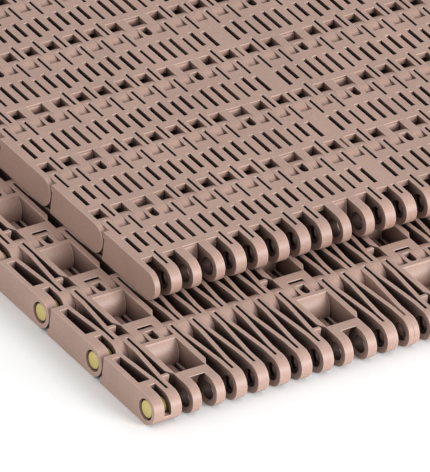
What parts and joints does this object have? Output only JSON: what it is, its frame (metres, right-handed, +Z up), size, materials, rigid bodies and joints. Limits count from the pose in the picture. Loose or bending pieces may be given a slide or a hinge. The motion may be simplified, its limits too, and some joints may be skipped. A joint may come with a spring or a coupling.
{
  "type": "slat top chain",
  "caption": "Flush-grid modular conveyor belt in brick-laid modules with hinge eyes, drain slots, ribbed undersides and sprocket tooth pockets, joined by pins that edge plugs keep in.",
  "frame": {"origin": "middle of the whole part's footprint, on the plane that the lower strand lies on", "axes": "+X across the belt, +Y along its travel away from the free front hinge, +Z up"},
  "size_m": [0.1958, 0.1998, 0.0176],
  "materials": {
    "module": "moulded acetal, satin",
    "pin": "extruded rod, satin",
    "plug": "moulded, satin"
  },
  "bodies": {
    "upper_row_1": {"upper_module_1": "module"},
    "upper_row_2": {"upper_module_2_closed_side": "module", "upper_module_2_plug_side": "module", "upper_pin_2": "pin", "upper_plug_2": "plug"},
    "upper_row_3": {"upper_module_3": "module", "upper_pin_3": "pin", "upper_plug_3": "plug"},
    "upper_row_4": {"upper_module_4_closed_side": "module", "upper_module_4_plug_side": "module", "upper_pin_4": "pin", "upper_plug_4": "plug"},
    "upper_row_5": {"upper_module_5": "module", "upper_pin_5": "pin", "upper_plug_5": "plug"},
    "upper_row_6": {"upper_module_6_closed_side": "module", "upper_module_6_plug_side": "module", "upper_pin_6": "pin", "upper_plug_6": "plug"},
    "lower_row_1": {"lower_module_1_closed_side": "module", "lower_module_1_plug_side": "module", "lower_plug_1": "plug"},
    "lower_row_2": {"lower_module_2": "module", "lower_pin_2": "pin", "lower_plug_2": "plug"},
    "lower_row_3": {"lower_module_3_closed_side": "module", "lower_module_3_plug_side": "module", "lower_pin_3": "pin", "lower_plug_3": "plug"},
    "lower_row_4": {"lower_module_4": "module", "lower_pin_4": "pin", "lower_plug_4": "plug"},
    "lower_row_5": {"lower_module_5_closed_side": "module", "lower_module_5_plug_side": "module", "lower_pin_5": "pin", "lower_plug_5": "plug"},
    "lower_row_6": {"lower_module_6": "module", "lower_pin_6": "pin", "lower_plug_6": "plug"},
    "lower_row_7": {"lower_module_7_closed_side": "module", "lower_module_7_plug_side": "module", "lower_pin_7": "pin", "lower_plug_7": "plug"}
  },
  "joints": [
    {"name": "lower_hinge_4", "type": "hinge", "parent": "lower_row_4", "child": "lower_row_3", "pos_m": [-0.01275, -0.01935, 0.00435], "axis": [1, 0, 0], "range_deg": [0, 45]},
    {"name": "lower_hinge_3", "type": "hinge", "parent": "lower_row_3", "child": "lower_row_2", "pos_m": [-0.01275, -0.04475, 0.00435], "axis": [1, 0, 0], "range_deg": [0, 45]},
    {"name": "lower_hinge_2", "type": "hinge", "parent": "lower_row_2", "child": "lower_row_1", "pos_m": [-0.01275, -0.07015, 0.00435], "axis": [1, 0, 0], "range_deg": [-50, 45]},
    {"name": "lower_hinge_5", "type": "hinge", "parent": "lower_row_4", "child": "lower_row_5", "pos_m": [-0.01275, 0.00605, 0.00435], "axis": [-1, 0, 0], "range_deg": [0, 45]},
    {"name": "lower_hinge_6", "type": "hinge", "parent": "lower_row_5", "child": "lower_row_6", "pos_m": [-0.01275, 0.03145, 0.00435], "axis": [-1, 0, 0], "range_deg": [0, 45]},
    {"name": "lower_hinge_7", "type": "hinge", "parent": "lower_row_6", "child": "lower_row_7", "pos_m": [-0.01275, 0.05685, 0.00435], "axis": [-1, 0, 0], "range_deg": [0, 45]},
    {"name": "upper_strand_lift", "type": "slide", "parent": "lower_row_4", "child": "upper_row_3", "axis": [0, 0, 1], "range_m": [0, 0.06]},
    {"name": "upper_hinge_3", "type": "hinge", "parent": "upper_row_3", "child": "upper_row_2", "pos_m": [0.01275, -0.00605, 0.01325], "axis": [-1, 0, 0], "range_deg": [0, 45]},
    {"name": "upper_hinge_2", "type": "hinge", "parent": "upper_row_2", "child": "upper_row_1", "pos_m": [0.01275, -0.03145, 0.01325], "axis": [-1, 0, 0], "range_deg": [0, 45]},
    {"name": "upper_hinge_4", "type": "hinge", "parent": "upper_row_3", "child": "upper_row_4", "pos_m": [0.01275, 0.01935, 0.01325], "axis": [1, 0, 0], "range_deg": [0, 45]},
    {"name": "upper_hinge_5", "type": "hinge", "parent": "upper_row_4", "child": "upper_row_5", "pos_m": [0.01275, 0.04475, 0.01325], "axis": [1, 0, 0], "range_deg": [0, 45]},
    {"name": "upper_hinge_6", "type": "hinge", "parent": "upper_row_5", "child": "upper_row_6", "pos_m": [0.01275, 0.07015, 0.01325], "axis": [1, 0, 0], "range_deg": [0, 45]}
  ]
}
